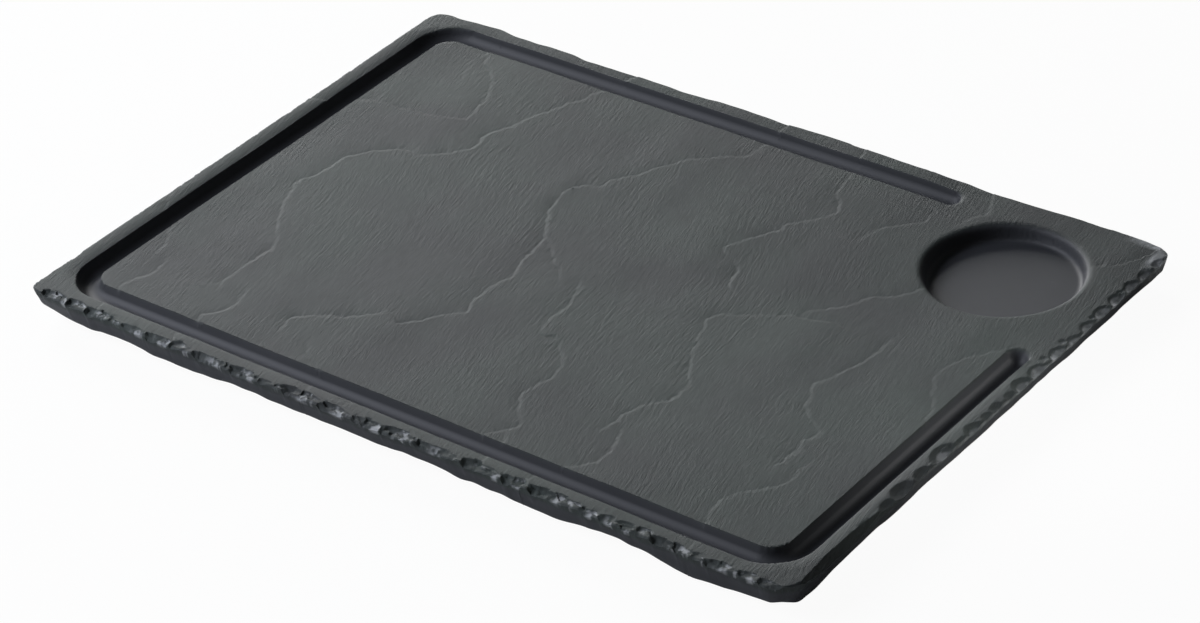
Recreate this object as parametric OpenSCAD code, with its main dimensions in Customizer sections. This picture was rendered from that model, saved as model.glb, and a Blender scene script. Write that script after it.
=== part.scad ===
// Slate-look steak plate: one fired ceramic body with a riven top, a knapped
// edge, a juice groove and a sauce well, on four stick-on silicone feet.
// Millimetres. X runs along the length, Y from the front to the rear, Z up.
// The origin lies on the table, under the middle of the plate.

/* [Plate] */
// Length over the widest part of the edge
plate_l = 332; // [300:1:380]
// Width over the widest part of the edge
plate_w = 234; // [210:1:270]
// Thickness of the ceramic, from the flat base to the mean top
plate_t = 10; // [9:0.1:14]
// Corner radius of the outline, rear right
corner_rr = 6; // [4:0.5:9]
// Corner radius of the outline, rear left
corner_rl = 8; // [4:0.5:9]
// Corner radius of the outline, front left
corner_fl = 5; // [4:0.5:9]
// Corner radius of the outline, front right
corner_fr = 9; // [4:0.5:9]

/* [Edge and underside] */
// Height of the upright edge below the top
lip_h = 5.2; // [4.4:0.1:6]
// Distance from the outline in to the edge of the flat base
base_inset = 9; // [6:0.5:14]
// Mean length of one knapped chip along the edge
chip_len = 12; // [9:0.5:16]
// Mean depth of one knapped chip
chip_depth = 1.9; // [1:0.1:2.2]
// Elevation of the blow that takes a chip off, in degrees
chip_angle = 32; // [20:1:45]

/* [Riven top] */
// Height of one cleavage ledge
ledge_h = 0.4; // [0.2:0.05:0.6]

/* [Juice groove] */
// Width of the groove between its walls
groove_w = 8.4; // [8:0.1:11]
// Depth of the groove
groove_depth = 4.8; // [4.4:0.1:5.5]
// Radius between the groove's wall and its floor
groove_floor_r = 3; // [1.5:0.1:3.4]
// Rounding of the groove's two upper edges
groove_edge_r = 0.6; // [0.3:0.1:0.8]
// Radius of the plateau's corners, inside the groove
groove_corner_r = 8; // [4:0.5:14]
// Rim between the groove's wall and the left or right outline
rim_x = 7.3; // [5:0.1:10]
// Rim between the groove's wall and the front or rear outline
rim_y = 8.3; // [5:0.1:10]

/* [Sauce well] */
// Diameter of the well inside its rounded rim
well_d = 56; // [46:0.5:64]
// Depth of the well
well_depth = 5.8; // [5.4:0.1:6.5]
// Rounding of the well's rim
well_rim_r = 2.2; // [1:0.1:2.4]
// Radius between the well's wall and its floor
well_floor_r = 3; // [1.5:0.1:3.4]
// Land between the well's rim and the right outline
well_land_x = 13.3; // [10:0.1:20]
// Land between the well's rim and the rear outline
well_land_y = 12.3; // [10:0.1:20]
// Gap between the well's rim and each end of the groove, along the groove
well_gap = 8.5; // [5:0.1:14]

/* [Feet] */
// Diameter of a silicone foot
foot_d = 14; // [10:0.5:18]
// Height of a silicone foot
foot_h = 2; // [1.6:0.1:4]
// Rounding of the foot's lower edge
foot_edge_r = 0.8; // [0.4:0.1:1.2]
// Diameter of the adhesive disc on the foot
adhesive_d = 12.5; // [8:0.5:14]
// Thickness of the adhesive disc
adhesive_t = 0.25; // [0.2:0.05:0.5]
// Distance of a foot's centre from the left or right outline
foot_inset_x = 30; // [24:1:50]
// Distance of a foot's centre from the front or rear outline
foot_inset_y = 28; // [24:1:50]

/* [Hidden] */
$fn = 48;

// Heights above the table
base_z = foot_h + adhesive_t;
top_z = base_z + plate_t;

// Room that a cutter takes beyond the skin it cuts
spare = 4;

// Edges of the groove and the well: a rounding, and a slope in degrees that
// starts below the lowest cleavage plane, cuts the rounding at a small angle
// and runs out into the riven top
edge_slope = 30;
edge_cut = 10;
edge_drop = 1.6 * ledge_h;
edge_reach = edge_drop / tan(edge_slope);
function edge_round_w(edge_r) = edge_r * (1 - cos(edge_cut) * sin(edge_slope));
function edge_round_h(edge_r) = edge_r * cos(edge_cut) * cos(edge_slope);

// Groove: centre line of its straight runs, and radius and centres of its bends
groove_x = plate_l / 2 - rim_x - groove_w / 2;
groove_y = plate_w / 2 - rim_y - groove_w / 2;
groove_bend_r = groove_corner_r + groove_w / 2;
bend_x = groove_x - groove_bend_r;
bend_y = groove_y - groove_bend_r;

// Well: outer radius of its rounded rim, and its centre in the rear right corner
well_rim_out_r = well_d / 2 + edge_round_w(well_rim_r) + edge_reach;
well_x = plate_l / 2 - well_land_x - well_rim_out_r;
well_y = plate_w / 2 - well_land_y - well_rim_out_r;

// Groove ends: the runs that lead up to the well, to a tenth of a millimetre,
// and the centres of the half-round tips in the end planes of these runs
well_clear = well_rim_out_r + well_gap + groove_w / 2;
function to_tenth(v) = round(10 * v) / 10;
rear_run_l = to_tenth(bend_x + well_x - well_clear);
right_run_l = to_tenth(bend_y + well_y - well_clear);
rear_end_x = rear_run_l - bend_x;
right_end_y = right_run_l - bend_y;

foot_x = plate_l / 2 - foot_inset_x;
foot_y = plate_w / 2 - foot_inset_y;

// Chips: the numbers drawn for their places, lengths and depths always repeat
chip_seed = 41;
chip_overlap = 0.86;
chip_spread = 0.3;
chip_shift = 0.12;

// Cleavage ledges from the rear edge to the front edge, left to right, in
// percent of half the length and half the width. The top steps up to the
// right at each, and the whole stair leans back to lie level.
ledge_1 = [
    [-41, 100], [-44, 84], [-54, 45], [-61, 24], [-67, 22], [-75, 10], [-78, -11],
    [-66, -39], [-64, -66], [-58, -70], [-60, -85], [-58, -100]
];
ledge_2 = [
    [2, 100], [0, 77], [-11, 62], [-19, 41], [-24, 34], [-24, 26], [-18, 9],
    [-14, -15], [-13, -38], [-22, -54], [-43, -68], [-42, -75], [-26, -85], [-23, -100]
];
ledge_3 = [
    [22, 100], [26, 76], [31, 62], [19, 31], [32, -1], [43, -35], [43, -41],
    [36, -64], [43, -70], [42, -79], [35, -100]
];
ledge_4 = [
    [55, 100], [59, 89], [69, 11], [64, -13], [75, -34], [73, -51], [79, -57],
    [72, -72], [75, -100]
];
// Flake scars that take the rear left and the front left corner one step lower
scar_rear = [
    [-77, 100], [-77, 85], [-66, 66], [-63, 51], [-66, 46], [-80, 43], [-100, 30]
];
scar_front = [
    [-100, -38], [-88, -52], [-81, -72], [-83, -84], [-81, -100]
];
ledges = [ledge_4, ledge_3, ledge_2, ledge_1];
ledge_count = len(ledges) + 1;
ledge_lean = atan(ledge_count * ledge_h / plate_l);

// A line given in percent of half the length and half the width
function on_plate(line) = [for (p = line) [p[0] * plate_l / 200, p[1] * plate_w / 200]];
function end_of(line) = line[len(line) - 1];
// Patches on the left of a line, which reach well outside the outline
function left_of(line) = concat(
    [[line[0][0], plate_w]], line,
    [[end_of(line)[0], -plate_w], [-plate_l, -plate_w], [-plate_l, plate_w]]
);
function rear_corner_of(line) = concat(
    [[line[0][0], plate_w]], line,
    [[-plate_l, end_of(line)[1]], [-plate_l, plate_w]]
);
function front_corner_of(line) = concat(
    [[-plate_l, line[0][1]]], line,
    [[end_of(line)[0], -plate_w], [-plate_l, -plate_w]]
);

// Outline of the plate, with a radius of its own at each corner
module outline() {
    radii = [corner_rr, corner_rl, corner_fl, corner_fr];
    signs = [[1, 1], [-1, 1], [-1, -1], [1, -1]];
    difference() {
        square([plate_l, plate_w], center = true);
        for (k = [0:3])
            translate([signs[k][0] * (plate_l / 2 - radii[k]), signs[k][1] * (plate_w / 2 - radii[k])])
                rotate(90 * k)
                    difference() {
                        square(radii[k] + spare);
                        circle(r = radii[k]);
                    }
    }
}

// Half of a hollow's section, with the top at zero and the middle on the left:
// flat floor, floor fillet, upright wall, rounded upper edge and slope
module hollow_half(half_w, depth, floor_r, edge_r) {
    round_w = edge_round_w(edge_r);
    round_low = -edge_drop - edge_round_h(edge_r);
    slope_low = -edge_drop - round_w * tan(edge_slope);
    outer_w = half_w + round_w + 2 * edge_reach;
    translate([0, -depth])
        square([half_w - floor_r, depth + spare]);
    translate([0, floor_r - depth])
        square([half_w, depth - floor_r + spare]);
    translate([half_w - floor_r, floor_r - depth])
        circle(r = floor_r);
    difference() {
        translate([0, round_low])
            square([half_w + round_w, edge_round_h(edge_r)]);
        translate([half_w + edge_r, round_low])
            circle(r = edge_r);
    }
    polygon([
        [0, slope_low],
        [half_w, slope_low],
        [outer_w, edge_drop],
        [outer_w, spare],
        [0, spare]
    ]);
}

module groove_half() {
    hollow_half(groove_w / 2, groove_depth, groove_floor_r, groove_edge_r);
}

// Whole section of the groove, with the top at zero
module groove_section() {
    groove_half();
    mirror([1, 0]) groove_half();
}

// Straight run of the groove from the point a, along the heading, in degrees
module groove_run(a, heading, length) {
    translate([a[0], a[1], top_z])
        rotate([0, 0, heading])
            rotate([90, 0, 90])
                linear_extrude(height = length)
                    groove_section();
}

// Quarter bend of the groove round the point c, from the given angle
module groove_bend(c, from) {
    translate([c[0], c[1], top_z])
        rotate([0, 0, from])
            rotate_extrude(angle = 90)
                translate([groove_bend_r, 0])
                    groove_section();
}

// Half-round end of the groove, opening away from the given heading
module groove_end(c, heading) {
    translate([c[0], c[1], top_z])
        rotate([0, 0, heading - 90])
            rotate_extrude(angle = 180)
                intersection() {
                    groove_half();
                    translate([0, -groove_depth]) square([groove_w, groove_depth + spare]);
                }
}

// Juice groove: from the rear end round three corners to the right end
module groove() {
    groove_end([rear_end_x, groove_y], 0);
    groove_run([-bend_x, groove_y], 0, rear_run_l);
    groove_bend([-bend_x, bend_y], 90);
    groove_run([-groove_x, -bend_y], 90, 2 * bend_y);
    groove_bend([-bend_x, -bend_y], 180);
    groove_run([-bend_x, -groove_y], 0, 2 * bend_x);
    groove_bend([bend_x, -bend_y], 270);
    groove_run([groove_x, -bend_y], 90, right_run_l);
    groove_end([groove_x, right_end_y], 90);
}

// Sauce well: flat floor, filleted wall and rounded rim
module well() {
    translate([well_x, well_y, top_z])
        rotate_extrude()
            hollow_half(well_d / 2, well_depth, well_floor_r, well_rim_r);
}

// One side of the sloping border under the plate, at the distance from the middle
module under_bevel(side, distance, length) {
    rise = plate_t - lip_h;
    rotate([0, 0, 90 * side])
        translate([distance, length / 2, base_z])
            rotate([90, 0, 0])
                linear_extrude(height = length)
                    polygon([
                        [-base_inset * (1 + spare / rise), -spare],
                        [spare, rise * (1 + spare / base_inset)],
                        [spare, -spare]
                    ]);
}

// One knapped chip: a ball that bites the top edge over the given length
module chip(length, depth) {
    r = (length * length / 4 + depth * depth) / (2 * depth);
    reach = r - depth;
    translate([reach * cos(chip_angle), 0, top_z + reach * sin(chip_angle)])
        sphere(r = r);
}

// Chips along one side, and one across the corner at its end
module edge_chips(side, distance, length, corner_r) {
    count = floor(length / (chip_len * chip_overlap));
    pitch = length / count;
    shifts = rands(-chip_shift, chip_shift, count, chip_seed + side);
    lengths = rands(1 - chip_spread, 1 + chip_spread, count, chip_seed + side + 4);
    depths = rands(1 - chip_spread, 1 + chip_spread, count, chip_seed + side + 8);
    corner_back = corner_r * (1 - cos(45));
    rotate([0, 0, 90 * side]) {
        for (i = [1:count - 2])
            translate([distance, (i + 0.5 + shifts[i]) * pitch - length / 2, 0])
                chip(chip_len * lengths[i], chip_depth * depths[i]);
        translate([distance - corner_back, length / 2 - corner_back, 0])
            rotate([0, 0, 45])
                chip(chip_len, chip_depth);
    }
}

// Space above one cleavage plane, the given number of ledges below the highest
module above_plane(level) {
    translate([0, 0, top_z + (len(ledges) / 2 - level) * ledge_h])
        rotate([0, ledge_lean, 0])
            linear_extrude(height = spare)
                children();
}

// Riven top: the space above the stair of cleavage planes
module above_riven_top() {
    above_plane(0)
        square([2 * plate_l, 2 * plate_w], center = true);
    for (k = [0:len(ledges) - 1])
        above_plane(k + 1)
            polygon(left_of(on_plate(ledges[k])));
    above_plane(ledge_count)
        polygon(rear_corner_of(on_plate(scar_rear)));
    above_plane(ledge_count)
        polygon(front_corner_of(on_plate(scar_front)));
}

module plate_body() {
    color([0.31, 0.33, 0.33])
        difference() {
            translate([0, 0, base_z])
                linear_extrude(height = plate_t + spare / 2)
                    outline();
            above_riven_top();
            groove();
            well();
            for (side = [0, 2]) {
                under_bevel(side, plate_l / 2, plate_w + 2 * spare);
                under_bevel(side + 1, plate_w / 2, plate_l + 2 * spare);
            }
            edge_chips(0, plate_l / 2, plate_w, corner_rr);
            edge_chips(1, plate_w / 2, plate_l, corner_rl);
            edge_chips(2, plate_l / 2, plate_w, corner_fl);
            edge_chips(3, plate_w / 2, plate_l, corner_fr);
        }
}

// Silicone foot, flat on top and rounded at its lower edge
module foot(x_side, y_side) {
    flat_r = foot_d / 2 - foot_edge_r;
    color([0.16, 0.16, 0.17])
        translate([x_side * foot_x, y_side * foot_y, 0])
            rotate_extrude() {
                square([flat_r, foot_h]);
                translate([0, foot_edge_r]) square([foot_d / 2, foot_h - foot_edge_r]);
                intersection() {
                    translate([flat_r, foot_edge_r]) circle(r = foot_edge_r);
                    square([foot_d / 2, foot_h]);
                }
            }
}

module foot_front_left() { foot(-1, -1); }
module foot_front_right() { foot(1, -1); }
module foot_rear_left() { foot(-1, 1); }
module foot_rear_right() { foot(1, 1); }

// Adhesive discs that hold the feet to the underside
module foot_adhesive_discs() {
    color([0.72, 0.70, 0.62])
        for (x_side = [-1, 1])
            for (y_side = [-1, 1])
                translate([x_side * foot_x, y_side * foot_y, foot_h])
                    cylinder(d = adhesive_d, h = adhesive_t);
}

plate_body();
foot_front_left();
foot_front_right();
foot_rear_left();
foot_rear_right();
foot_adhesive_discs();
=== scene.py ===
import math

import bpy
import numpy as np
from mathutils import Matrix, Vector


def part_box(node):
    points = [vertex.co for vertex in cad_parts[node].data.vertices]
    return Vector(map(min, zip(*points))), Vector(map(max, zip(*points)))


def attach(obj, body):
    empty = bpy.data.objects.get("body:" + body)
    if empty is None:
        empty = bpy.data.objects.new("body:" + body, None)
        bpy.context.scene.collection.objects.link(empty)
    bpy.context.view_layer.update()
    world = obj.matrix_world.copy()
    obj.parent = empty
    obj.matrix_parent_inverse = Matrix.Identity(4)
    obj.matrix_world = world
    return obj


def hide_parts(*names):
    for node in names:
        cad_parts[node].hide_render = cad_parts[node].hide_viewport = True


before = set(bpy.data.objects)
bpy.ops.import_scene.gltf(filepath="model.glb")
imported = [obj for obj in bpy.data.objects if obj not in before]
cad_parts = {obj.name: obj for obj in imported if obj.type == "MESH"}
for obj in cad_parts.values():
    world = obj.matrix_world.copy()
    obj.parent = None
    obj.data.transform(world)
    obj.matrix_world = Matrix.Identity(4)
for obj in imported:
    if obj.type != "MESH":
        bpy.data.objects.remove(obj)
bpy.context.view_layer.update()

# The plate is shaped in millimetres. Its mesh, the floor, the lamps and the camera are in metres.
MM = 0.001

# Plate, from the frame
body_low, body_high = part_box("plate_body")
HALF_L = body_high[0] / MM
HALF_W = body_high[1] / MM
BASE_Z = body_low[2] / MM
PLATE_T = 10.0
TOP_Z = BASE_Z + PLATE_T
# Corner radii of the outline: rear right, rear left, front left, front right
CORNERS = {(1, 1): 6.0, (-1, 1): 11.0, (-1, -1): 5.0, (1, -1): 10.5}

# Juice groove: its centre line, its bends, and the centres of its two half-round ends
GROOVE_X = HALF_L - 11.5
GROOVE_Y = HALF_W - 12.5
GROOVE_BEND_R = 12.5
REAR_END_X = 79.6
RIGHT_END_Y = 31.6
# Section of the groove: distance out from the centre line, depth.
# The plateau's edge is rounded, the rim's is crisp.
GROOVE_SECTION = [
    (-4.75, 0.0), (-4.58, 0.06), (-4.42, 0.25), (-4.3, 0.6), (-4.2, 1.02), (-4.0, 1.68),
    (-3.7, 2.29), (-3.3, 2.86), (-2.8, 3.36), (-2.2, 3.79), (-1.5, 4.13), (-0.8, 4.33),
    (0.0, 4.4), (0.8, 4.33), (1.5, 4.13), (2.2, 3.79), (2.8, 3.36), (3.3, 2.86),
    (3.7, 2.29), (4.0, 1.68), (4.2, 1.02), (4.3, 0.4), (4.55, 0.0)
]
# At the groove's two ends the lip is softer: distance from the end of the centre line, depth,
# and the distance over which this section takes over
GROOVE_END_SECTION = [
    (0.0, 4.4), (1.5, 4.13), (2.6, 3.5), (3.3, 2.7), (3.8, 1.85), (4.2, 1.1), (4.6, 0.55),
    (5.1, 0.2), (5.8, 0.0)
]
GROOVE_END_BLEND = 3.0

# Sauce well: its centre and its section, distance from the centre, depth
WELL_X = HALF_L - 44.1
WELL_Y = HALF_W - 42.0
WELL_SECTION = [
    (0.0, 5.8), (25.6, 5.78), (26.3, 5.65), (26.9, 5.35), (27.35, 4.9), (27.65, 4.3),
    (27.85, 3.4), (28.0, 2.5), (28.2, 1.85), (28.5, 1.3), (28.9, 0.85), (29.4, 0.46),
    (29.9, 0.21), (30.4, 0.07), (31.1, 0.0)
]
# The well's floor waves a little inside this radius, which also keeps its triangles small: height,
# cell in x, cell in y, seed
WELL_FLOOR_R = 23.0
WELL_FLOOR_WAVES = [(0.025, 5, 5, 35)]

# The plateau lies a little below the plate's top. The rim outside the groove starts higher and is
# crowned: it climbs by this slope at first, turns down after this far, and fades out by the well.
PLATEAU_DROP = 0.4
RIM_EDGE = -0.02
RIM_SLOPE = 0.13
RIM_CROWN = 5.0
RIM_WIDTH = 6.0
RIM_FADE = 15.0
# Near the two ends of the plate the rim starts lower and climbs more
RIM_END_DROP = 0.3
RIM_END_SLOPE = 0.25
RIM_END_ZONE = 12.0
# The riven relief stays between these heights, and nothing stands higher over the top than this
RELIEF_LOW = -0.5
RELIEF_HIGH = 0.4
HIGHEST = 0.4
# The top edge is worn round: how much, and over which width
CREST_DROP = 0.5
CREST_WIDTH = 0.8

# Soft waves of the riven top: height, cell in x, cell in y, seed
RIVEN_WAVES = [(0.2, 22, 36, 31), (0.07, 9, 26, 32)]
# Ledges of the riven top. Each runs from the rear to the front, and the top is higher to the right
# of it. Each has its share of the full height and the points that it passes, beyond the outline
# where it runs off the plate.
LEDGES = {
    "rear left flake": (0.5, [
        (-130, 112), (-127, 98), (-124, 92), (-118, 88), (-112, 81), (-108, 73), (-105, 60),
        (-109, 54), (-124, 51), (-140, 49), (-150, 45), (-161, 38), (-180, 28)]),
    "rear left crease": (0.25, [(-130, 92), (-126, 82), (-123, 74)]),
    "left ledge": (0.6, [
        (-66, 130), (-68, 112), (-73, 98), (-77, 87), (-82, 76), (-85, 66), (-90, 50), (-90, 42),
        (-97, 32), (-104, 27), (-111, 27), (-121, 19), (-126, 9), (-126, -1), (-130, -11),
        (-126, -20), (-117, -37), (-110, -46), (-108, -56), (-109, -64), (-107, -82)]),
    "left ledge foot": (0.5, [
        (-99, -72), (-96, -80), (-95, -86), (-100, -95), (-98, -101), (-99, -110), (-96, -130)]),
    "front left flake": (0.4, [
        (-182, -30), (-166, -41), (-160, -49), (-149, -60), (-144, -67), (-140, -82)]),
    "front left flake foot": (0.4, [
        (-137, -72), (-134, -86), (-138, -95), (-136, -102), (-135, -112), (-133, -130)]),
    "middle ledge": (0.6, [
        (4, 130), (3, 110), (2, 92), (-4, 85), (-17, 74), (-24, 60), (-31, 51), (-32, 44),
        (-40, 40), (-40, 28), (-35, 17), (-29, 8), (-27, 0), (-26, -10), (-23, -17), (-25, -38),
        (-22, -45), (-28, -52), (-37, -63), (-45, -61), (-57, -70), (-72, -80), (-70, -92)]),
    "middle ledge foot": (0.35, [(-62, -86), (-51, -95), (-43, -100), (-38, -110), (-36, -130)]),
    "middle branch": (0.45, [(-34, 13), (-22, 3), (-12, -6), (-2, -17)]),
    "centre ledge": (0.5, [
        (-1, -6), (6, -24), (5, -36), (9, -42), (15, -41), (24, -50), (28, -60), (26, -74),
        (36, -89), (31, -96), (25, -108)]),
    "centre ledge foot": (0.4, [(32, -86), (38, -101), (39, -112), (42, -130)]),
    "rear ledge": (0.5, [
        (34, 130), (38, 109), (42, 96), (44, 87), (50, 78), (50, 71), (42, 60), (38, 50),
        (31, 36), (36, 32), (43, 27), (47, 16), (54, 12)]),
    "well ledge": (0.45, [(110, 58), (101, 44), (91, 33), (88, 27), (76, 13)]),
    "right ledge": (0.55, [
        (102, 15), (86, 15), (72, 10), (54, -1), (54, -8), (61, -25), (70, -39), (71, -48),
        (63, -62), (61, -80)]),
    "right ledge foot": (0.45, [
        (66, -68), (71, -84), (70, -93), (62, -101), (59, -110), (57, -130)]),
    "front right ledge": (0.5, [
        (113, 22), (113, 4), (107, -14), (107, -19), (113, -31), (124, -39), (122, -46),
        (123, -55), (121, -68)]),
    "front right ledge foot": (0.45, [
        (130, -52), (130, -68), (120, -83), (118, -93), (122, -102), (125, -112), (125, -130)]),
    "right rim ledge": (0.4, [(155, 42), (141, 22), (138, 9), (147, -8), (151, -20)]),
    "fold by the rear end": (0.4, [(80, 100), (81, 86), (72, 76), (67, 60)]),
    "fold behind the well": (0.4, [(88, 124), (97, 105), (96, 99), (90, 86)]),
    "fold right of the well": (0.4, [(162, 118), (156, 99), (142, 88)]),
}
# Full height of a ledge, width of its scarp, and the length over which each end fades out
LEDGE_STEP = 0.45
LEDGE_SCARP_W = 0.8
LEDGE_FADE = 10.0
# The low side dips towards the scarp and the high side has a brow, as shares of the height. The
# dip's two shares run out over the foot and over the ramp, and the brow over the foot.
LEDGE_DIP = (0.6, 0.5)
LEDGE_BROW = 0.12
LEDGE_FOOT = 2.4
LEDGE_RAMP = 12.0
# The height is uneven along the ledge, and the line wanders as of broken stone
LEDGE_UNEVEN = [(0.5, 9, 9, 33), (0.3, 3, 3, 34)]
LEDGE_WANDER = 0.75
WANDER_X = [(1.0, 5, 5, 21), (0.8, 1.8, 1.8, 22)]
WANDER_Y = [(1.0, 5, 5, 23), (0.8, 1.8, 1.8, 24)]
# Spacing of the points along a ledge, and how far from it the top is shaped
LEDGE_POINTS = 1.2
LEDGE_REACH = 45.0

# Knapped front edge: the ends of its chips along the edge. Each chip's depth and its width in from
# the edge are drawn between these numbers. It drops over this share of its length at its left end
# and has lost this share of its depth at its right end.
FRONT_CHIP_ENDS = [
    -160, -148, -139, -127, -121, -109, -98, -88, -71, -57, -47, -30, -15, -2, 12, 31, 49, 60, 82,
    90, 97, 104, 110, 127, 132, 145, 153, 161
]
FRONT_CHIP_DEPTH = (1.5, 2.5)
FRONT_CHIP_SETBACK = (2.8, 4.4)
FRONT_CHIP_DROP = 0.14
FRONT_CHIP_CLIMB = 0.75
CHIP_SEED = 7
# Every other chip is the hollow of a ball, with a bite and a blow. The blow is its elevation in
# degrees: a low one leaves a steep face, a high one a bowl.
# Right side, front and middle: separate bowls, each with its middle, length and bite
RIGHT_CHIPS = [
    (-61, 9, 0.9), (-52, 12, 1.5), (-41, 9, 1.2), (-28.5, 13, 1.8), (-19, 5, 0.6),
    (-11.5, 9, 1.4), (-3, 5, 0.7), (3, 7, 1.0), (11, 5, 0.6), (19, 11, 1.7), (29, 12, 2.0)
]
RIGHT_CHIP_BLOW = 78
RIGHT_BLOW_SPREAD = 6
# Right side, rear: the chips' ends along the edge, then bite and blow
RIGHT_REAR_CHIP_ENDS = [36, 46, 55, 65, 75, 84, 93, 102]
RIGHT_REAR_CHIPS = (1.8, 82)
# Rear and left side: chips about this far apart and at least this long, then bite and blow
FAR_CHIP_STEP = 11.0
FAR_CHIP_LEN = 26.0
REAR_CHIPS = (1.4, 40)
LEFT_CHIPS = (0.6, 40)
# These rows start and stop this far from the corners, and each place is off by up to this much
FAR_CHIP_START = 8
FAR_CHIP_STOP = 5
CHIP_SHIFT = 3
# In a row each chip laps over the next, is shallower where it is short, and differs by these
CHIP_LAP = 1.2
CHIP_FULL_LEN = 12
CHIP_SHORT = 0.6
CHIP_BITE_SPREAD = (0.75, 1.15)
CHIP_BLOW_SPREAD = 7
# Corner chips: place, way out of the edge in degrees, length, bite, blow
CORNER_CHIPS = [
    (166, -88, 0, 54, 1.7, 34),
    (148, -117, 268, 14, 0.9, 42), (159, -115.5, 285, 8, 0.7, 42),
    (166, 105.5, 5, 8, 1.4, 80), (165, 115, 45, 24, 1.5, 70), (152, 117, 88, 12, 0.8, 70),
    (-163.5, 114.5, 135, 14, 0.8, 45)
]
# Rows with a blow above this are bowls with small flakes off their crests: how far apart, radius,
# distance out from the crest and its spread, and lift in radii
BOWL_BLOW = 60
FLAKE_STEP = 9.0
FLAKE_R = (1.2, 2.8)
FLAKE_OUT = 0.8
FLAKE_SHIFT = 0.6
FLAKE_LIFT = (0.5, 0.75)
# The floor of a chip breaks into facets: size, height and seed, coarse and fine
FACET_SIZE = (3.4, 1.5)
FACET_HEIGHT = (0.3, 0.12)
FACET_SEED = (61, 62)
# Share of that roughness on the other sides than the front, and what the front of the right side
# loses of it
ROUGH_ELSEWHERE = 0.35
ROUGH_LOSS_RIGHT = 0.9
# Painted light on the chips' faces comes in spots: height, cell in x, cell in y, seed
LIGHT_FLECK_WAVES = [(1.2, 2.6, 2.6, 71), (0.5, 0.9, 0.9, 72)]
# Chips lie within this distance of the outline and go no deeper below the top than this
CHIP_ZONE = 9
CHIP_DEEPEST = 4.6

# Side: depth of the lip's lower edge below the top, on each side
LIP_FRONT = 8.4
LIP_RIGHT = 7.4
LIP_FAR = 5.2
# Deeper on both sides of the front right corner: how much, and place and reach of each
LIP_CORNER = 1.4
LIP_CORNER_X = HALF_L - 31
LIP_CORNER_Y = 14 - HALF_W
LIP_CORNER_REACH = 26.0
# Shallower at the front left corner: how much, and its reach
LIP_NOSE = 2.0
LIP_NOSE_REACH = 26.0
# The lower edge is ragged, by this share along the other sides than the front
LIP_RAGGED = [(1.1, 17, 17, 51), (0.6, 6, 6, 52)]
LIP_RAGGED_SHARE = 0.3
# The lip is at least this high, also below a chip
LIP_LEAST = 1.2
# The side leans in on its way down: share of the way, distance in. It is dented by this much.
SIDE_LEAN = [
    (0.12, 0.1), (0.25, 0.28), (0.4, 0.54), (0.55, 0.84), (0.7, 1.14), (0.82, 1.4), (0.92, 1.65),
    (1.0, 2.0)
]
SIDE_DENT = 0.12
# Below the lip a bevel runs in to the flat base: shares of the way, distance of the base
BEVEL_SHARES = (0.06, 0.15, 0.3, 0.5, 0.7, 0.85, 0.95, 1.0)
BASE_INSET = 9.5

# The outline waves, drawn in from the true one, and a band inside it moves with it
EDGE_WAVE = 0.8
EDGE_WAVES = [(0.35, 13, 13, 41), (0.15, 5, 5, 42)]
EDGE_BAND = 7.0
# At the rear it lies further in by this much and waves more. That grows towards the left and
# shrinks towards the right: share, place where it starts, and distance over which it comes in.
EDGE_REAR = 2.0
REAR_WAVES = [(1.6, 26, 26, 43), (0.9, 9, 9, 44)]
REAR_LEFT_MORE = (0.35, -70, 30)
REAR_RIGHT_LESS = (0.38, 60, 60)

# Mesh: spacing of the grid in the middle and near the edge, how near its points are drawn on to
# the hollows' sections and the ledges, and the most triangles of the finished piece
GRID = 0.56
GRID_EDGE = 0.3
GRID_EDGE_W = 9.0
SNAP_REACH = 0.24
LEDGE_SNAP_REACH = 0.3
TRIANGLES = 190000
# Noise and facets repeat after this many cells
NOISE_CELLS = 128


def ease(t):
    """0 below 0, 1 above 1, smooth between."""
    t = np.clip(t, 0, 1)
    return t * t * (3 - 2 * t)


def soft_noise(x, y, cell_x, cell_y, seed):
    """Smooth noise from -1 to 1, on cells of that size."""
    lattice = np.random.default_rng(seed).random((NOISE_CELLS, NOISE_CELLS)) * 2 - 1
    i = np.floor(x / cell_x).astype(int)
    j = np.floor(y / cell_y).astype(int)
    u = ease(x / cell_x - i)
    v = ease(y / cell_y - j)
    i0 = i % NOISE_CELLS
    i1 = (i + 1) % NOISE_CELLS
    j0 = j % NOISE_CELLS
    j1 = (j + 1) % NOISE_CELLS
    low = lattice[i0, j0] * (1 - u) + lattice[i1, j0] * u
    high = lattice[i0, j1] * (1 - u) + lattice[i1, j1] * u
    return low * (1 - v) + high * v


def waves(x, y, layers, mean=0.0):
    """Smooth noises added to a mean. Each layer is its height, its cell in x and in y, and a seed."""
    noises = (height * soft_noise(x, y, cell_x, cell_y, seed)
              for height, cell_x, cell_y, seed in layers)
    return sum(noises, mean)


def broken_facets(x, y, cell, seed):
    """Flat facets about a cell wide, each at its own level and tilt, from about -1 to 1."""
    draws = np.random.default_rng(seed).random((5, NOISE_CELLS, NOISE_CELLS))
    jog_x, jog_y, level, tilt_x, tilt_y = draws
    i = np.floor(x / cell).astype(int)
    j = np.floor(y / cell).astype(int)
    best = np.full(x.shape, 1e9)
    height = np.zeros(x.shape)
    for di in (-1, 0, 1):
        for dj in (-1, 0, 1):
            at = (i + di) % NOISE_CELLS, (j + dj) % NOISE_CELLS
            dx = x / cell - i - di - jog_x[at]
            dy = y / cell - j - dj - jog_y[at]
            gap = dx * dx + dy * dy
            facet = 2 * level[at] - 1 + (2 * tilt_x[at] - 1) * dx + (2 * tilt_y[at] - 1) * dy
            height = np.where(gap < best, facet, height)
            best = np.minimum(gap, best)
    return height


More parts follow.
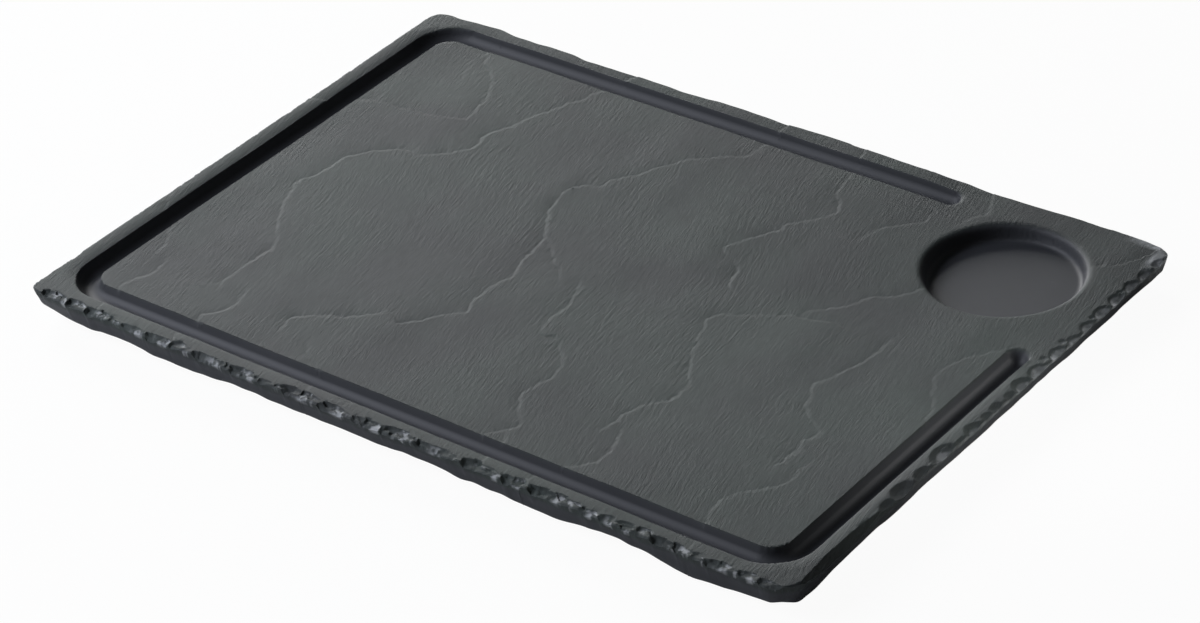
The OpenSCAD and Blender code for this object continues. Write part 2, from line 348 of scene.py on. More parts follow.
def ragged_line(points, step):
    """The points joined by a smooth line, with a small ragged wander as of broken stone."""
    pts = np.array(points, float)
    pts = np.vstack([2 * pts[0] - pts[1], pts, 2 * pts[-1] - pts[-2]])
    line = []
    for k in range(1, len(pts) - 2):
        p0, p1, p2, p3 = pts[k - 1:k + 3]
        count = max(2, int(np.hypot(*(p2 - p1)) / step))
        for t in np.arange(count) / count:
            line.append(0.5 * (
                2 * p1 + (p2 - p0) * t + (2 * p0 - 5 * p1 + 4 * p2 - p3) * t ** 2
                + (3 * p1 - p0 - 3 * p2 + p3) * t ** 3))
    line.append(pts[-2])
    line = np.array(line)
    px, py = line.T
    wander = np.column_stack([waves(px, py, WANDER_X), waves(px, py, WANDER_Y)])
    return line + LEDGE_WANDER * wander


def line_distance(x, y, line):
    """Signed distance from the line, positive on its left, the way along it, its length, and the
    direction away from it."""
    best = np.full(x.shape, 1e9)
    side = np.ones(x.shape)
    along = np.zeros(x.shape)
    away_x = np.zeros(x.shape)
    away_y = np.zeros(x.shape)
    start = 0.0
    for (ax, ay), (bx, by) in zip(line[:-1], line[1:]):
        dx = bx - ax
        dy = by - ay
        length = math.hypot(dx, dy)
        t = np.clip(((x - ax) * dx + (y - ay) * dy) / length ** 2, 0, 1)
        ox = x - ax - t * dx
        oy = y - ay - t * dy
        gap = ox * ox + oy * oy
        near = gap < best
        best = np.where(near, gap, best)
        left = np.where(dx * (y - ay) - dy * (x - ax) >= 0, 1.0, -1.0)
        side = np.where(near, left, side)
        along = np.where(near, start + t * length, along)
        away_x = np.where(near, -dy / length, away_x)
        away_y = np.where(near, dx / length, away_y)
        start += length
    return side * np.sqrt(best), along, start, away_x, away_y


def outline_gap(x, y):
    """Distance inside the outline of the plate."""
    gap = np.minimum(HALF_L - np.abs(x), HALF_W - np.abs(y))
    for (sx, sy), r in CORNERS.items():
        cx = sx * x - (HALF_L - r)
        cy = sy * y - (HALF_W - r)
        inside = (cx > 0) & (cy > 0)
        gap = np.where(inside, r - np.hypot(cx, cy), gap)
    return gap


def groove_gap(x, y):
    """Distance from the groove's centre line, negative towards the plateau."""
    qx = np.abs(x) - (GROOVE_X - GROOVE_BEND_R)
    qy = np.abs(y) - (GROOVE_Y - GROOVE_BEND_R)
    outside = np.hypot(np.maximum(qx, 0), np.maximum(qy, 0))
    loop = outside + np.minimum(np.maximum(qx, qy), 0) - GROOVE_BEND_R
    rear_end = np.hypot(x - REAR_END_X, y - GROOVE_Y)
    right_end = np.hypot(x - GROOVE_X, y - RIGHT_END_Y)
    ends = np.minimum(rear_end, right_end)
    tip = (x > REAR_END_X) & (y > RIGHT_END_Y)
    return np.where(tip, np.where(loop < 0, -ends, ends), loop)


def well_gap(x, y):
    """Distance from the middle of the sauce well."""
    return np.hypot(x - WELL_X, y - WELL_Y)


def gap_slope(gap, x, y):
    """How fast a distance grows in x and in y."""
    tiny = 0.01
    slope_x = (gap(x + tiny, y) - gap(x - tiny, y)) / (2 * tiny)
    slope_y = (gap(x, y + tiny) - gap(x, y - tiny)) / (2 * tiny)
    return slope_x, slope_y


def snap_to(x, y, gap, levels):
    """Moves the grid's points that are close to the given distances on to them."""
    d = gap(x, y)
    slope_x, slope_y = gap_slope(gap, x, y)
    levels = np.array(levels)
    nearest = levels[np.abs(d[:, None] - levels[None, :]).argmin(axis=1)]
    move = np.where(np.abs(nearest - d) < SNAP_REACH, nearest - d, 0.0)
    return x + move * slope_x, y + move * slope_y


def round_corners(x, y):
    """Draws the square corners of the grid in to the plate's rounded ones."""
    for (sx, sy), r in CORNERS.items():
        a = (sx * x - (HALF_L - r)) / r
        b = (sy * y - (HALF_W - r)) / r
        inside = (a > 0) & (b > 0)
        new_a = a * np.sqrt(np.maximum(0, 1 - b * b / 2))
        new_b = b * np.sqrt(np.maximum(0, 1 - a * a / 2))
        x = np.where(inside, sx * (HALF_L - r + r * new_a), x)
        y = np.where(inside, sy * (HALF_W - r + r * new_b), y)
    return x, y


def wavy_outline(x, y):
    """Draws the edge of the grid in to the plate's wavy outline."""
    gap = outline_gap(x, y)
    in_x, in_y = gap_slope(outline_gap, x, y)
    more, more_from, more_over = REAR_LEFT_MORE
    less, less_from, less_over = REAR_RIGHT_LESS
    at_rear = ease((y - HALF_W) / EDGE_BAND + 1) * (
        1 + more * ease((more_from - x) / more_over) - less * ease((x - less_from) / less_over))
    wave = waves(x, y, EDGE_WAVES, 0.5) + at_rear * waves(x, y, REAR_WAVES)
    draw = np.clip(EDGE_WAVE * wave + EDGE_REAR * at_rear, 0, None) * ease(1 - gap / EDGE_BAND)
    return x + draw * in_x, y + draw * in_y


def riven_relief(x, y):
    """Height of the riven top over its mean. Also draws the grid on to the foot and the crest of
    each ledge."""
    relief = waves(x, y, RIVEN_WAVES)
    half = LEDGE_SCARP_W / 2
    for step, points in LEDGES.values():
        line = ragged_line(points, LEDGE_POINTS)
        low = line.min(axis=0) - LEDGE_REACH
        high = line.max(axis=0) + LEDGE_REACH
        near = np.nonzero((x > low[0]) & (x < high[0]) & (y > low[1]) & (y < high[1]))[0]
        d, along, length, away_x, away_y = line_distance(x[near], y[near], line)
        fade = ease(along / LEDGE_FADE) * ease((length - along) / LEDGE_FADE)
        level = np.where(d >= 0, half, -half)
        close = (np.abs(level - d) < LEDGE_SNAP_REACH) & (fade > 0.2)
        move = np.where(close, level - d, 0.0)
        x[near] += move * away_x
        y[near] += move * away_y
        d = d + move
        beyond = np.maximum(np.abs(d) - half, 0)
        foot = np.exp(-beyond / LEDGE_FOOT)
        dip = LEDGE_DIP[0] * foot + LEDGE_DIP[1] * np.exp(-beyond / LEDGE_RAMP)
        brow = LEDGE_BROW * foot
        height = LEDGE_STEP * step * fade * waves(along, along, LEDGE_UNEVEN, 1)
        share = np.clip(d / half, -1, 1)
        relief[near] += height * np.where(share > 0, share * brow, share * dip)
    return relief


def chip_ball(place, out, length, bite, blow):
    """The ball whose hollow is a chip of that length and bite: its centre and radius."""
    radius = (length ** 2 / 4 + bite ** 2) / (2 * bite)
    reach = (radius - bite) * math.cos(math.radians(blow))
    lift = (radius - bite) * math.sin(math.radians(blow))
    return place[0] + reach * out[0], place[1] + reach * out[1], TOP_Z + lift, radius


def chip_balls():
    """Every chip but the front edge's as a ball, and the small flakes along the bowls' crests."""
    rng = np.random.default_rng(CHIP_SEED)
    rear = np.arange(-HALF_L + FAR_CHIP_START, HALF_L - FAR_CHIP_STOP, FAR_CHIP_STEP)
    left = np.arange(-HALF_W + FAR_CHIP_START, HALF_W - FAR_CHIP_STOP, FAR_CHIP_STEP)
    rear = rear + rng.uniform(-CHIP_SHIFT, CHIP_SHIFT, len(rear))
    left = left + rng.uniform(-CHIP_SHIFT, CHIP_SHIFT, len(left))
    # Each row: the chips' ends, their least length, a point of the edge, its direction, the way out
    # of it, and bite and blow
    rows = [
        (RIGHT_REAR_CHIP_ENDS, 0, (HALF_L, 0), (0, 1), (1, 0), RIGHT_REAR_CHIPS),
        (rear, FAR_CHIP_LEN, (0, HALF_W), (1, 0), (0, 1), REAR_CHIPS),
        (left, FAR_CHIP_LEN, (-HALF_L, 0), (0, 1), (-1, 0), LEFT_CHIPS),
    ]
    balls = []
    for ends, least, edge, along, out, (bite, blow) in rows:
        for start, end in zip(ends[:-1], ends[1:]):
            length = max(least, CHIP_LAP * (end - start))
            middle = (start + end) / 2
            place = (edge[0] + middle * along[0], edge[1] + middle * along[1])
            deep = bite * np.clip(length / CHIP_FULL_LEN, CHIP_SHORT, 1.0)
            deep = deep * rng.uniform(*CHIP_BITE_SPREAD)
            turned = blow + rng.uniform(-CHIP_BLOW_SPREAD, CHIP_BLOW_SPREAD)
            balls.append(chip_ball(place, out, length, deep, turned))
        if blow < BOWL_BLOW:
            continue
        # The crest of a bowl lies about twice its bite inside the edge
        setback = 2 * bite
        for middle in np.arange(ends[0], ends[-1], FLAKE_STEP):
            middle = middle + rng.uniform(-CHIP_SHIFT, CHIP_SHIFT)
            inset = FLAKE_OUT - setback + rng.uniform(-FLAKE_SHIFT, FLAKE_SHIFT)
            radius = rng.uniform(*FLAKE_R)
            place = (edge[0] + middle * along[0] + inset * out[0],
                     edge[1] + middle * along[1] + inset * out[1])
            balls.append((*place, TOP_Z + rng.uniform(*FLAKE_LIFT) * radius, radius))
    for middle, length, bite in RIGHT_CHIPS:
        blow = RIGHT_CHIP_BLOW + rng.uniform(-RIGHT_BLOW_SPREAD, RIGHT_BLOW_SPREAD)
        balls.append(chip_ball((HALF_L, middle), (1, 0), length, bite, blow))
    for px, py, turn, length, bite, blow in CORNER_CHIPS:
        out = (math.cos(math.radians(turn)), math.sin(math.radians(turn)))
        balls.append(chip_ball((px, py), out, length, bite, blow))
    return balls


def front_chips(x, y, coarse, fine):
    """The front edge's chips: how far along its chip each place is, and how deep it lies.

    A chip drops steeply at its left end and climbs in broken facets to its right end.
    """
    rng = np.random.default_rng(CHIP_SEED)
    ends = np.array(FRONT_CHIP_ENDS)
    near_x = x + 0.5 * soft_noise(x, y, 3, 3, 63) + 0.3 * fine
    number = np.clip(np.searchsorted(ends, near_x) - 1, 0, len(ends) - 2)
    length = ends[number + 1] - ends[number]
    along = np.clip((near_x - ends[number]) / length, 0, 1)
    deepest = rng.uniform(*FRONT_CHIP_DEPTH, len(ends))[number]
    deepest = deepest * np.clip(length / CHIP_FULL_LEN, CHIP_SHORT, 1)
    widest = rng.uniform(*FRONT_CHIP_SETBACK, len(ends))[number]
    # The border bows in from the chip's two ends to its middle, and the floor falls towards the edge
    setback = widest * (0.5 + 0.5 * np.sqrt(np.sin(math.pi * along))) + 0.6 * coarse
    inside = setback - (y + HALF_W)
    depth = deepest * (1 - FRONT_CHIP_CLIMB * along) * ease(along / FRONT_CHIP_DROP) * (
        0.4 + 0.6 * np.clip(inside / widest, 0, 1))
    depth = depth + FACET_HEIGHT[0] * coarse + FACET_HEIGHT[1] * fine
    in_row = (near_x > ends[0]) & (near_x < ends[-1])
    return along, np.where(in_row, np.clip(depth, 0, None) * ease(inside / 0.5), 0)


def knap(x, y, z):
    """Takes the chips off the top edge: the front's, then the hollows of the round blows."""
    edge = np.nonzero(outline_gap(x, y) < CHIP_ZONE)[0]
    ex = x[edge]
    ey = y[edge]
    # The front breaks roughly, the other sides less so and the front of the right side hardly at all
    at_front = ease((12 - HALF_W - ey) / 8) * ease((HALF_L - 14 - ex) / 12)
    broken = ROUGH_ELSEWHERE + (1 - ROUGH_ELSEWHERE) * at_front
    smooth_right = ease((ex - HALF_L + 12) / 8) * ease((-60 - ey) / 8)
    broken = broken * (1 - ROUGH_LOSS_RIGHT * smooth_right)
    coarse = broken * broken_facets(ex, ey, FACET_SIZE[0], FACET_SEED[0])
    fine = broken * broken_facets(ex, ey, FACET_SIZE[1], FACET_SEED[1])
    rough = FACET_HEIGHT[0] * coarse + FACET_HEIGHT[1] * fine
    z[edge] = z[edge] - front_chips(ex, ey, coarse, fine)[1]
    rough_x = ex + 0.6 * broken * soft_noise(ex, ey, 3.1, 3.1, 63) + 0.4 * fine
    rough_y = ey + 0.6 * broken * soft_noise(ex, ey, 3.1, 3.1, 65) + 0.4 * coarse
    for cx, cy, cz, radius in chip_balls():
        inside = radius ** 2 - (rough_x - cx) ** 2 - (rough_y - cy) ** 2
        cut = inside > 0
        floor = cz - np.sqrt(inside[cut]) + rough[cut]
        z[edge[cut]] = np.minimum(z[edge[cut]], np.maximum(floor, TOP_Z - CHIP_DEEPEST))
    return z


def top_height(x, y, relief):
    """Height of the top with its groove and its well, before the edge is knapped."""
    groove_d = groove_gap(x, y)
    well_d = well_gap(x, y)
    groove_depth = np.interp(groove_d, *np.array(GROOVE_SECTION).T)
    past_end = (ease((x - REAR_END_X) / GROOVE_END_BLEND)
                * ease((y - RIGHT_END_Y) / GROOVE_END_BLEND))
    soft_depth = np.interp(np.abs(groove_d), *np.array(GROOVE_END_SECTION).T)
    groove_depth = groove_depth + (soft_depth - groove_depth) * past_end
    well_depth = np.interp(well_d, *np.array(WELL_SECTION).T)
    on_floor = 1 - ease((well_d - WELL_FLOOR_R) / 2)
    well_depth = well_depth + waves(x, y, WELL_FLOOR_WAVES) * on_floor
    # The riven relief fades out where the groove and the well are moulded
    moulded = np.maximum(1 - ease((np.abs(groove_d) - 3.5) / 1.5), 1 - ease((well_d - 28) / 3))
    by_well = ease((x - REAR_END_X) / RIM_FADE + 1) * ease((y - RIGHT_END_Y) / RIM_FADE + 1)
    rim_from = GROOVE_SECTION[-1][0]
    outside = np.clip(groove_d - rim_from, 0, RIM_WIDTH)
    at_end = ease((np.abs(x) - HALF_L + RIM_END_ZONE) / 4) * (1 - by_well)
    slope = RIM_SLOPE + (RIM_END_SLOPE - RIM_SLOPE) * at_end
    crown = slope * outside * (1 - outside / (2 * RIM_CROWN))
    rise = (PLATEAU_DROP + RIM_EDGE - RIM_END_DROP * at_end) * ease(groove_d / rim_from) + crown
    riven = np.clip(relief, RELIEF_LOW, RELIEF_HIGH) * (1 - moulded)
    top = np.minimum(riven - PLATEAU_DROP + rise * (1 - by_well), HIGHEST)
    worn = np.clip(outline_gap(x, y) - EDGE_WAVE * 0.5, 0, CREST_WIDTH) / CREST_WIDTH
    return TOP_Z + top - groove_depth - well_depth - CREST_DROP * (1 - worn) ** 2


def side_rings(lx, ly, lz):
    """Rings of points below the edge: down the side to the lip, then along the bevel to the base."""
    tx = np.roll(lx, -4) - np.roll(lx, 4)
    ty = np.roll(ly, -4) - np.roll(ly, 4)
    size = np.hypot(tx, ty)
    ox = ty / size
    oy = -tx / size
    at_front = ease(-oy)
    lip = LIP_FAR + (LIP_FRONT - LIP_FAR) * at_front
    lip = lip + (LIP_RIGHT - LIP_FAR) * ease(ox) * (1 - at_front)
    by_front = np.hypot(lx - LIP_CORNER_X, ly + HALF_W) / LIP_CORNER_REACH
    by_right = np.hypot(lx - HALF_L, ly - LIP_CORNER_Y) / LIP_CORNER_REACH
    lip = lip + LIP_CORNER * (ease(1 - by_front) + ease(1 - by_right) * ease(2 * ox - 1))
    lip = lip - LIP_NOSE * ease(1 - np.hypot(lx + HALF_L, ly + HALF_W) / LIP_NOSE_REACH)
    ragged = LIP_RAGGED_SHARE + (1 - LIP_RAGGED_SHARE) * at_front
    lip = lip + ragged * waves(lx, ly, LIP_RAGGED)
    lip_z = np.minimum(TOP_Z - lip, lz - LIP_LEAST)
    rings = []
    for share, inset in SIDE_LEAN:
        dent = 1 + soft_noise(lx + ly, np.full(lx.shape, share * 9), 11, 3, 53)
        inset = inset + SIDE_DENT * dent * math.sin(math.pi * share)
        rings.append((lx - ox * inset, ly - oy * inset, lz + (lip_z - lz) * share))
    lean = SIDE_LEAN[-1][1]
    for share in BEVEL_SHARES:
        inset = lean + (BASE_INSET - lean) * share
        rings.append((lx - ox * inset, ly - oy * inset, lip_z + (BASE_Z - lip_z) * share))
    return rings


def graded(half):
    """Places across the plate, closer together near the edges."""
    inner = half - GRID_EDGE_W
    count_edge = int(GRID_EDGE_W / GRID_EDGE) + 1
    count_middle = int(2 * inner / GRID) + 1
    return np.concatenate([
        np.linspace(-half, -inner, count_edge)[:-1],
        np.linspace(-inner, inner, count_middle)[:-1],
        np.linspace(inner, half, count_edge)])


def plate_surface():
    """Points and faces of the whole body: the top as a fine grid, the side as rings below it, and
    the border of the base."""
    x, y = np.meshgrid(graded(HALF_L), graded(HALF_W))
    grid = np.arange(x.size).reshape(x.shape)
    x, y = round_corners(x.ravel(), y.ravel())
    x, y = wavy_outline(x, y)
    relief = riven_relief(x, y)
    x, y = snap_to(x, y, groove_gap, [d for d, depth in GROOVE_SECTION])
    x, y = snap_to(x, y, well_gap, [d for d, depth in WELL_SECTION[1:]])
    z = knap(x, y, top_height(x, y, relief))

    corners = [grid[:-1, :-1], grid[:-1, 1:], grid[1:, 1:], grid[1:, :-1]]
    faces = [np.stack(corners, axis=-1).reshape(-1, 4)]
    points = [np.column_stack([x, y, z])]
    upper = np.concatenate([grid[0, :], grid[1:, -1], grid[-1, -2::-1], grid[-2:0:-1, 0]])
    count = len(upper)
    for k, ring in enumerate(side_rings(x[upper], y[upper], z[upper])):
        lower = grid.size + k * count + np.arange(count)
        faces.append(np.stack(
            [lower, np.roll(lower, -1), np.roll(upper, -1), upper], axis=-1))
        points.append(np.column_stack(ring))
        upper = lower
    return np.vstack(points), np.vstack(faces), upper[::-1]


def plain_mesh(name, points, faces, base):
    """A mesh from quads and one face over the base."""
    mesh = bpy.data.meshes.new(name)
    mesh.vertices.add(len(points))
    mesh.vertices.foreach_set("co", (points * MM).ravel())
    mesh.loops.add(4 * len(faces) + len(base))
    mesh.loops.foreach_set("vertex_index", np.concatenate([faces.ravel(), base]))
    mesh.polygons.add(len(faces) + 1)
    mesh.polygons.foreach_set("loop_start", 4 * np.arange(len(faces) + 1))
    mesh.update(calc_edges=True)
    mesh.validate()
    return mesh


def thinned(obj, triangles):
    """The object's mesh with flat places in fewer triangles."""
    thin = obj.modifiers.new("thin", "DECIMATE")
    thin.ratio = triangles / (2 * len(obj.data.polygons))
    graph = bpy.context.evaluated_depsgraph_get()
    mesh = bpy.data.meshes.new_from_object(obj.evaluated_get(graph))
    obj.modifiers.remove(thin)
    return mesh


# The finish changes over short distances. In each ease below, the number taken off is the place
# where the change starts and the divisor is how far it takes, in millimetres.
def satin_share(x, y, z):
    """Where the stoneware is satin: in the moulded groove and well and on the side."""
    in_groove = 1 - ease((np.abs(groove_gap(x, y)) - 4.2) / 0.6)
    in_well = 1 - ease((well_gap(x, y) - 28.6) / 1.2)
    on_side = ease((TOP_Z - 2.2 - z) / 1.2) * (1 - ease((outline_gap(x, y) - 2.5) / 2.0))
    return np.clip(np.maximum(np.maximum(in_groove, in_well), on_side), 0, 1)


def painted_chip_light_share(x, y, z):
    """Where the knapped edge is painted paler in spots: painted highlights on chip faces that catch
    the light, and painted light on the right side's chips, which lie in shade.
    """
    coarse = broken_facets(x, y, FACET_SIZE[0], FACET_SEED[0])
    fine = broken_facets(x, y, FACET_SIZE[1], FACET_SEED[1])
    flecks = waves(x, y, LIGHT_FLECK_WAVES, 0.1 + 0.6 * fine)
    # Front: painted highlight towards the right ends of the chips, which face the light
    chip_along, chip_depth = front_chips(x, y, coarse, fine)
    on_chip = ease((chip_depth - 0.15) / 0.3) * ease((z - TOP_Z + 2.3) / 0.8)
    painted_chip_light = on_chip * ease((chip_along - 0.25) / 0.4) * ease(flecks)
    # Right side: painted light on chips that lie in shade, most at the front ends of the rear chips,
    # and half as strong in front of them
    ends = np.array(RIGHT_REAR_CHIP_ENDS)
    number = np.clip(np.searchsorted(ends, y) - 1, 0, len(ends) - 2)
    share = (y - ends[number]) / (ends[number + 1] - ends[number])
    front_end = (0.35 + 0.65 * ease((0.5 - share) / 0.3)) * ease((y + 60) / 40)
    front_end = np.maximum(front_end, ease((y - ends[-1]) / 4))
    cut_in = ease((TOP_Z - PLATEAU_DROP - 0.35 - z) / 0.4) * ease((z - TOP_Z + 2.6) / 0.6)
    on_right = cut_in * ease((x - HALF_L + 8) / 2) * front_end
    on_right = on_right * (0.5 + 0.5 * ease((y - ends[0] + 6) / 8))
    painted_chip_light = np.maximum(painted_chip_light, on_right * (0.45 + 0.55 * ease(0.3 + flecks)))
    # Rear right corner: painted highlight all over its top edge
    by_corner = ease(1.5 - np.hypot(x - HALF_L + 5, y - HALF_W + 5) / 10)
    by_corner = by_corner * ease((5.5 - outline_gap(x, y)) / 2)
    by_corner = by_corner * ease((z - TOP_Z + 3.2) / 0.8)
    return np.maximum(painted_chip_light, by_corner * (0.4 + 0.6 * ease(0.3 + flecks)))


def colour(hex_code):
    """Linear colour of an sRGB hex value."""
    parts = [int(hex_code[k:k + 2], 16) / 255 for k in (1, 3, 5)]
    linear = [c / 12.92 if c <= 0.04045 else ((c + 0.055) / 1.055) ** 2.4 for c in parts]
    return (*linear, 1.0)


def add(tree, kind, links=None, **settings):
    """A node of that kind, with its settings, its socket values and the sockets that feed it."""
    node = tree.nodes.new(kind)
    for name, value in settings.items():
        setattr(node, name, value)
    for socket, source in (links or {}).items():
        if isinstance(source, bpy.types.NodeSocket):
            tree.links.new(source, node.inputs[socket])
        else:
            node.inputs[socket].default_value = source
    return node


def new_material(name):
    """An empty node material and its tree."""
    material = bpy.data.materials.new(name)
    material.use_nodes = True
    material.node_tree.nodes.clear()
    return material, material.node_tree


# Slate-look stoneware, pressed and fired: matte and streaked along its grain on the riven top,
# smooth and satin where it was moulded.
def slate_stoneware():
    material, tree = new_material("slate_look_stoneware")
    place = add(tree, "ShaderNodeTexCoord").outputs["Object"]
    satin = add(tree, "ShaderNodeAttribute", attribute_name="satin").outputs["Fac"]
    # Share of painted light on the chips' faces
    painted_chip_light = add(tree, "ShaderNodeAttribute", attribute_name="painted_chip_light").outputs["Fac"]
    # Grain that turns slowly over the plate and wanders by about a millimetre
    turning = add(tree, "ShaderNodeTexNoise", {
        "Vector": place, "Scale": 1 / (120 * MM), "Detail": 1.0}).outputs["Color"]
    turned = add(tree, "ShaderNodeVectorMath", {
        0: turning, 1: (16 * MM, 16 * MM, 0), 2: place},
        operation="MULTIPLY_ADD").outputs["Vector"]
    wander = add(tree, "ShaderNodeTexNoise", {
        "Vector": place, "Scale": 1 / (9 * MM), "Detail": 2.0}).outputs["Color"]
    bent = add(tree, "ShaderNodeVectorMath", {
        0: wander, 1: (1.6 * MM, 1.6 * MM, 0), 2: turned},
        operation="MULTIPLY_ADD").outputs["Vector"]
    grain = add(tree, "ShaderNodeMapping", {
        "Vector": bent, "Rotation": (0, 0, math.radians(-12))}).outputs["Vector"]
    # Short streaks 0.45 mm wide and long ones 1.1 mm wide
    short_space = add(tree, "ShaderNodeMapping", {
        "Vector": grain, "Scale": (1 / (0.45 * MM), 1 / (3.4 * MM), 1 / (2 * MM))}).outputs["Vector"]
    short_streak = add(tree, "ShaderNodeTexNoise", {
        "Vector": short_space, "Scale": 1.0, "Detail": 3.0, "Roughness": 0.65}).outputs["Fac"]
    long_space = add(tree, "ShaderNodeMapping", {
        "Vector": grain, "Scale": (1 / (1.1 * MM), 1 / (9 * MM), 1 / (4 * MM))}).outputs["Vector"]
    long_streak = add(tree, "ShaderNodeTexNoise", {
        "Vector": long_space, "Scale": 1.0, "Detail": 2.0, "Roughness": 0.5}).outputs["Fac"]
    streak = add(tree, "ShaderNodeMath", {
        0: short_streak, 1: long_streak}, operation="ADD").outputs["Value"]
    # Patches about 20 mm across where the streaks are strong, and about 45 mm across in tone
    patch = add(tree, "ShaderNodeTexNoise", {
        "Vector": place, "Scale": 1 / (20 * MM), "Detail": 2.0, "Roughness": 0.5}).outputs["Fac"]
    tone = add(tree, "ShaderNodeTexNoise", {
        "Vector": place, "Scale": 1 / (45 * MM), "Detail": 3.0, "Roughness": 0.5}).outputs["Fac"]
    tone_colour = add(tree, "ShaderNodeValToRGB", {"Fac": tone})
    tone_colour.color_ramp.elements[0].position = 0.36
    tone_colour.color_ramp.elements[0].color = colour("#343838")
    tone_colour.color_ramp.elements[1].position = 0.64
    tone_colour.color_ramp.elements[1].color = colour("#373f3c")
    shade = add(tree, "ShaderNodeMapRange", {
        "Value": streak, "From Min": 0.7, "From Max": 1.3,
        "To Min": 0.8, "To Max": 1.2}).outputs["Result"]
    riven = add(tree, "ShaderNodeMix", {
        "Factor": 1.0, 6: tone_colour.outputs["Color"], 7: shade},
        data_type="RGBA", blend_type="MULTIPLY").outputs[2]
    moulded = add(tree, "ShaderNodeMix", {
        "Factor": satin, 6: riven, 7: colour("#35373b")}, data_type="RGBA").outputs[2]
    # Painted light: paler where the chips' faces catch the light, and on the right side's shaded
    # chips
    chip_light_colour = add(tree, "ShaderNodeMix", {
        "Factor": painted_chip_light, 6: moulded, 7: colour("#a2a5a6")}, data_type="RGBA").outputs[2]
    rough = add(tree, "ShaderNodeMapRange", {
        "Value": satin, "To Min": 0.75, "To Max": 0.58}).outputs["Result"]
    strong = add(tree, "ShaderNodeMapRange", {
        "Value": patch, "From Min": 0.38, "From Max": 0.62,
        "To Min": 0.35, "To Max": 0.85}).outputs["Result"]
    strength = add(tree, "ShaderNodeMapRange", {
        "Value": satin, "To Min": strong, "To Max": 0.02}).outputs["Result"]
    bump = add(tree, "ShaderNodeBump", {
        "Height": streak, "Strength": strength, "Distance": 0.24 * MM}).outputs["Normal"]
    shader = add(tree, "ShaderNodeBsdfPrincipled", {
        "Base Color": chip_light_colour, "Roughness": rough, "Normal": bump, "IOR": 1.5})
    add(tree, "ShaderNodeOutputMaterial", {"Surface": shader.outputs["BSDF"]})
    return material


# Silicone, compression moulded: matte, near black, with a fine grain from the mould.
def moulded_silicone():
    material, tree = new_material("moulded_silicone")
    place = add(tree, "ShaderNodeTexCoord").outputs["Object"]
    grain = add(tree, "ShaderNodeTexNoise", {
        "Vector": place, "Scale": 1 / (0.5 * MM), "Detail": 2.0}).outputs["Fac"]
    rough = add(tree, "ShaderNodeMapRange", {
        "Value": grain, "To Min": 0.55, "To Max": 0.75}).outputs["Result"]
    shader = add(tree, "ShaderNodeBsdfPrincipled", {
        "Base Color": colour("#1d1d1f"), "Roughness": rough, "IOR": 1.43})
    add(tree, "ShaderNodeOutputMaterial", {"Surface": shader.outputs["BSDF"]})
    return material


# Acrylic foam tape: cream, slightly glossy at its cut edge.
def acrylic_foam_tape():
    material, tree = new_material("acrylic_foam_tape")
    shader = add(tree, "ShaderNodeBsdfPrincipled", {
        "Base Color": colour("#b7b29f"), "Roughness": 0.45, "IOR": 1.48})
    add(tree, "ShaderNodeOutputMaterial", {"Surface": shader.outputs["BSDF"]})
    return material


# White studio paper: matte. The camera sees it near white, and it keeps the plate's shadow.
def studio_paper():
    material, tree = new_material("studio_paper")
    matte = add(tree, "ShaderNodeBsdfDiffuse", {"Color": colour("#ececea")}).outputs["BSDF"]
    white = add(tree, "ShaderNodeEmission", {
        "Color": colour("#ffffff"), "Strength": 1.0}).outputs["Emission"]
    seen = add(tree, "ShaderNodeLightPath").outputs["Is Camera Ray"]
    share = add(tree, "ShaderNodeMath", {0: seen, 1: 0.95}, operation="MULTIPLY").outputs["Value"]
    mixed = add(tree, "ShaderNodeMixShader", {"Fac": share, 1: matte, 2: white}).outputs["Shader"]
    add(tree, "ShaderNodeOutputMaterial", {"Surface": mixed})
    return material


def make_plate():
    """The plate's ceramic body, from the surface above, with its satin places and its painted light
    on the chips.
    """
    points, faces, base = plate_surface()
    dense = bpy.data.objects.new("dense plate", plain_mesh("dense plate", points, faces, base))
    bpy.context.scene.collection.objects.link(dense)
    mesh = thinned(dense, TRIANGLES)
    bpy.data.objects.remove(dense)
    mesh.name = "riven_plate"
    plate = bpy.data.objects.new("riven_plate", mesh)
    bpy.context.scene.collection.objects.link(plate)
    mesh.shade_smooth()
    mesh.set_sharp_from_angle(angle=math.radians(42))

    place = np.empty(3 * len(mesh.vertices))
    mesh.vertices.foreach_get("co", place)
    x, y, z = (place / MM).reshape(-1, 3).T
    # The second share is painted light on the chips' faces
    for name, share in (("satin", satin_share(x, y, z)), ("painted_chip_light", painted_chip_light_share(x, y, z))):
        mesh.attributes.new(name, "FLOAT", "POINT").data.foreach_set("value", share)
    mesh.materials.clear()
    mesh.materials.append(slate_stoneware())
    return plate


plate = make_plate()
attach(plate, "root")
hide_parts("plate_body")

# The feet and their adhesive keep the shape that they have in the frame
silicone = moulded_silicone()
tape = acrylic_foam_tape()
for name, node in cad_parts.items():
    if name.startswith("foot_adhesive"):
        node.data.materials[0] = tape
    elif name.startswith("foot"):
        node.data.materials[0] = silicone

# Stage: a pale floor, a low soft panel behind on the left, a soft fill at the front left and a
# small card at the right
FLOOR_SIZE = 6.0
bpy.ops.mesh.primitive_plane_add(size=FLOOR_SIZE, location=(0, 0, 0))
floor = bpy.context.object
floor.name = "studio_floor"
floor.data.materials.append(studio_paper())


def soft_lamp(name, place, aim, size, watts, tint="#ffffff", spread=180):
    """A soft lamp of that width and height, aimed at a point. The camera doesn't see it."""
    data = bpy.data.lights.new(name, "AREA")
    data.shape = "RECTANGLE"
    data.size, data.size_y = size
    data.energy = watts
    data.color = colour(tint)[:3]
    data.spread = math.radians(spread)
    lamp = bpy.data.objects.new(name, data)
    bpy.context.scene.collection.objects.link(lamp)
    lamp.location = place
    lamp.visible_camera = False
    lamp.rotation_euler = (Vector(aim) - Vector(place)).to_track_quat("-Z", "Y").to_euler()


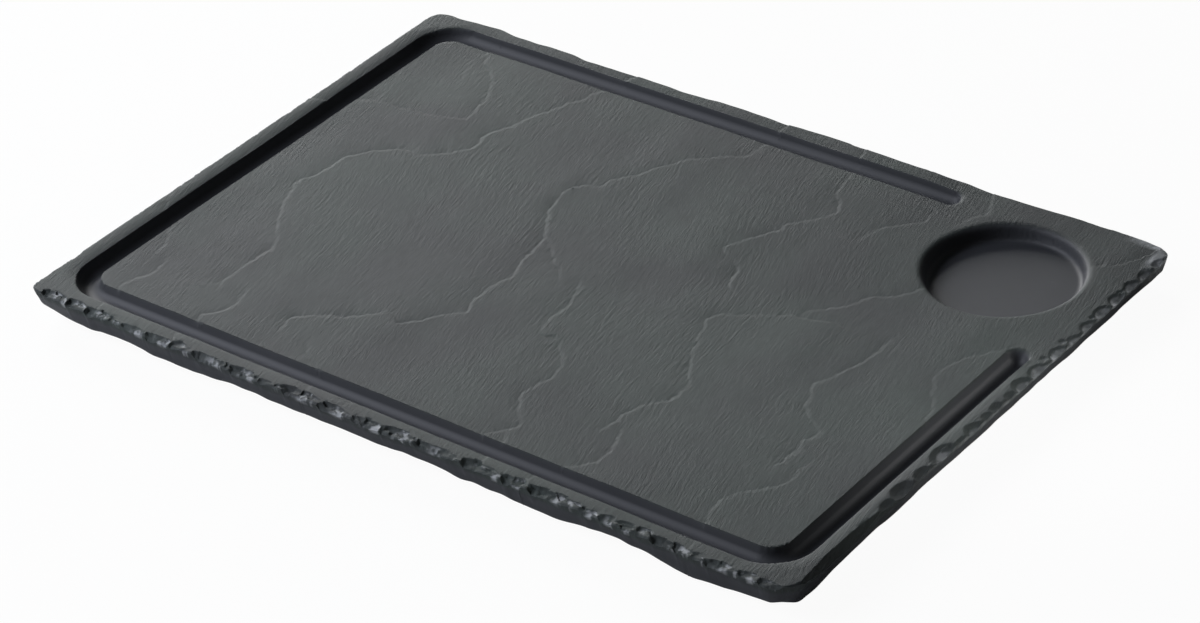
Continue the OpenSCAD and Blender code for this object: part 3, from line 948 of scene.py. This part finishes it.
soft_lamp("rear_panel", (-1.91, 1.24, 0.74), (0, 0, 0), (1.3, 1.3), 63.0)
soft_lamp("front_fill", (-0.9, -0.58, 0.83), (0, 0, 0), (0.7, 0.7), 13.5, "#eef2ff")
soft_lamp("right_card", (0.34, 0.11, 0.14), (0.16, 0.005, 0.012), (0.1, 0.1), 0.015, spread=25)

# The studio's walls give the plate little light. The camera sees them white, as the floor.
world = bpy.data.worlds.new("dim_studio")
world.use_nodes = True
world_tree = world.node_tree
world_tree.nodes.clear()
walls = add(world_tree, "ShaderNodeBackground", {"Color": colour("#ffffff"), "Strength": 0.04})
backdrop = add(world_tree, "ShaderNodeBackground", {"Color": colour("#ffffff"), "Strength": 1.0})
seen = add(world_tree, "ShaderNodeLightPath").outputs["Is Camera Ray"]
studio = add(world_tree, "ShaderNodeMixShader", {
    "Fac": seen, 1: walls.outputs["Background"], 2: backdrop.outputs["Background"]})
add(world_tree, "ShaderNodeOutputWorld", {"Surface": studio.outputs["Shader"]})
bpy.context.scene.world = world

# Camera: fitted to the photograph's straight runs of groove, aimed at a point on the plateau
CAMERA_AIM = Vector((17.6, -20.5, TOP_Z - PLATEAU_DROP)) * MM
CAMERA_TURN = math.radians(40.04)
CAMERA_RISE = math.radians(33.59)
CAMERA_ROLL = math.radians(-4.66)
CAMERA_REACH = 1405.7 * MM
CAMERA_LENS = 121.72
back = Vector((
    math.sin(CAMERA_TURN) * math.cos(CAMERA_RISE),
    -math.cos(CAMERA_TURN) * math.cos(CAMERA_RISE),
    math.sin(CAMERA_RISE)))
level = Vector((0, 0, 1)).cross(back).normalized()
right = level * math.cos(CAMERA_ROLL) + back.cross(level) * math.sin(CAMERA_ROLL)
up = back.cross(right)
camera_data = bpy.data.cameras.new("camera")
camera_data.lens = CAMERA_LENS
camera_data.sensor_width = 36.0
camera_data.sensor_fit = "HORIZONTAL"
camera = bpy.data.objects.new("camera", camera_data)
bpy.context.scene.collection.objects.link(camera)
turn = Matrix((right, up, back)).transposed().to_4x4()
camera.matrix_world = Matrix.Translation(CAMERA_AIM + back * CAMERA_REACH) @ turn
bpy.context.scene.camera = camera
bpy.context.scene.view_settings.view_transform = "Standard"
